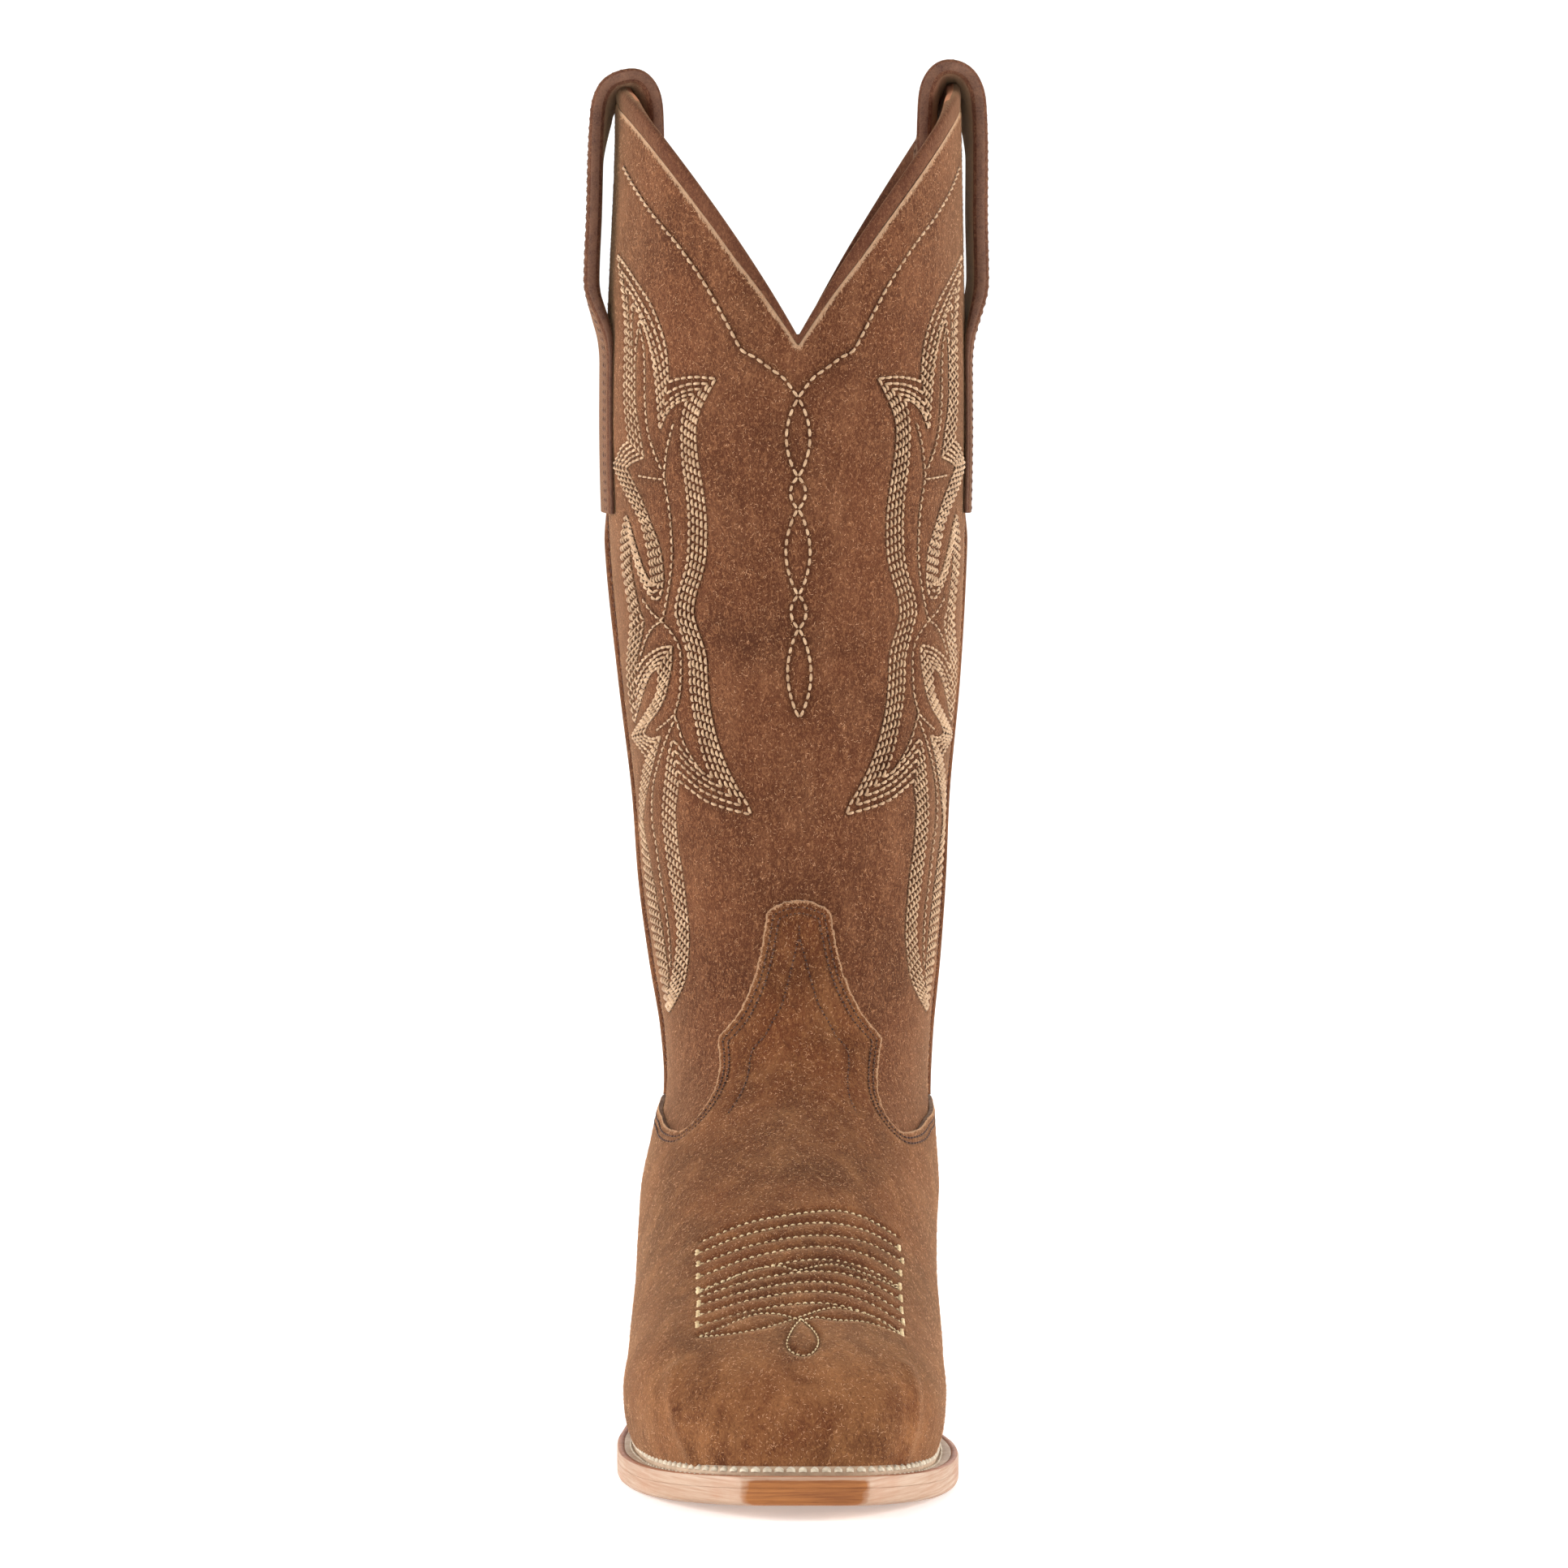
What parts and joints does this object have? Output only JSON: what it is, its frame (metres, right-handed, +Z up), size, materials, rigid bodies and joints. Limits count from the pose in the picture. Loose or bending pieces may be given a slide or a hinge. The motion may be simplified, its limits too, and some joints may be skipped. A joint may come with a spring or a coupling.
{
  "type": "cowboy boot",
  "caption": "Tall pull-on western boot for the right foot: scalloped embroidered suede shaft with pull straps, tongued vamp, welted leather sole and stacked heel.",
  "frame": {"origin": "on the ground, under the middle of the boot's box", "axes": "+Z up, toe towards -Y, heel towards +Y, the foot's inner side towards +X"},
  "size_m": [0.1202, 0.2844, 0.4079],
  "materials": {
    "suede": "matt suede, mid brown",
    "lining_leather": "smooth tan leather",
    "stiffener_cloth": "stiffened cloth",
    "sole_leather": "waxed vegetable-tanned leather",
    "welt_leather": "natural leather",
    "cork": "cork and binder",
    "steel": "bright steel",
    "heel_rubber": "moulded rubber",
    "peg_wood": "maple"
  },
  "bodies": {
    "root": {"shaft_front": "suede", "shaft_back": "suede", "lining_front": "lining_leather", "lining_back": "lining_leather", "top_bead_front": "suede", "top_bead_back": "suede", "side_welt_lateral": "suede", "side_welt_medial": "suede", "pull_strap_lateral": "suede", "pull_strap_medial": "suede", "vamp": "suede", "counter_cover": "suede", "toe_puff": "stiffener_cloth", "vamp_interlining": "stiffener_cloth", "counter_stiffener": "stiffener_cloth", "vamp_lining": "lining_leather", "heel_lining": "lining_leather", "insole": "sole_leather", "sock_liner": "lining_leather", "welt": "welt_leather", "heel_rand": "welt_leather", "outsole": "sole_leather", "cork_filler": "cork", "shank_cover": "sole_leather", "heel_seat_filler": "cork", "shank": "steel", "heel_cap": "heel_rubber", "heel_lift_1": "sole_leather", "heel_lift_2": "sole_leather", "heel_lift_3": "sole_leather", "heel_lift_4": "sole_leather", "heel_wedge": "sole_leather", "heel_nail_1": "steel", "heel_nail_2": "steel", "heel_nail_3": "steel", "heel_nail_4": "steel", "heel_nail_5": "steel", "peg_lateral_1": "peg_wood", "peg_medial_1": "peg_wood", "peg_lateral_2": "peg_wood", "peg_medial_2": "peg_wood", "peg_lateral_3": "peg_wood", "peg_medial_3": "peg_wood", "peg_lateral_4": "peg_wood", "peg_medial_4": "peg_wood", "peg_lateral_5": "peg_wood", "peg_medial_5": "peg_wood"}
  },
  "joints": []
}
